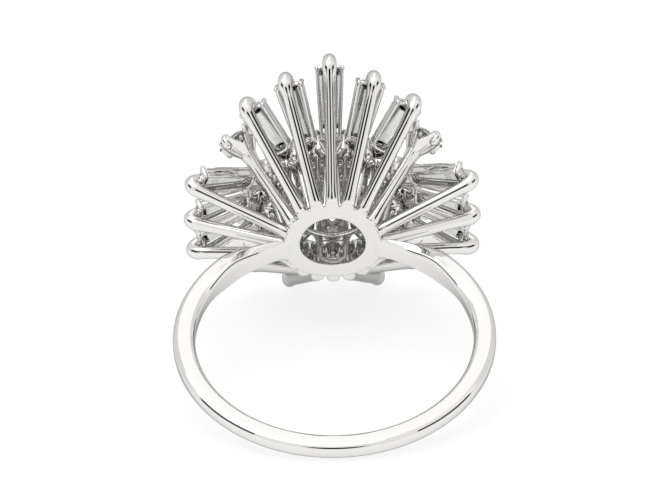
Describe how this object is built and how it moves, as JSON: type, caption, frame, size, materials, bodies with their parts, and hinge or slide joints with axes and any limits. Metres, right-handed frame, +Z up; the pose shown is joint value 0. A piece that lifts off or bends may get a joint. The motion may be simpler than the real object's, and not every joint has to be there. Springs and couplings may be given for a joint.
{
  "type": "marguerite ring",
  "caption": "Finger ring with a slim rounded shank and a daisy head of wire petals that hold tapered and round stones about a central brilliant, lying on its side.",
  "frame": {"origin": "on the surface that the ring lies on, under the middle of its box", "axes": "+Z up, +Y from the back of the shank towards the flower's face, +X across the hand; the finger hole's axis leans back from +Z by about 20 degrees"},
  "size_m": [0.0198, 0.0274, 0.0177],
  "materials": {
    "metal": "polished platinum",
    "diamond": "clear, polished facets"
  },
  "bodies": {
    "root": {"setting": "metal", "centre_stone": "diamond", "inner_stone_01": "diamond", "inner_stone_02": "diamond", "inner_stone_03": "diamond", "inner_stone_04": "diamond", "inner_stone_05": "diamond", "inner_stone_06": "diamond", "inner_stone_07": "diamond", "inner_stone_08": "diamond", "inner_stone_09": "diamond", "inner_stone_10": "diamond", "round_stone_1": "diamond", "round_stone_2": "diamond", "round_stone_3": "diamond", "round_stone_4": "diamond", "baguette_01": "diamond", "baguette_02": "diamond", "baguette_03": "diamond", "baguette_04": "diamond", "baguette_05": "diamond", "baguette_06": "diamond", "baguette_07": "diamond", "baguette_08": "diamond", "baguette_09": "diamond", "baguette_10": "diamond", "baguette_11": "diamond", "baguette_12": "diamond", "baguette_13": "diamond", "baguette_14": "diamond", "baguette_15": "diamond", "baguette_16": "diamond"}
  },
  "joints": []
}
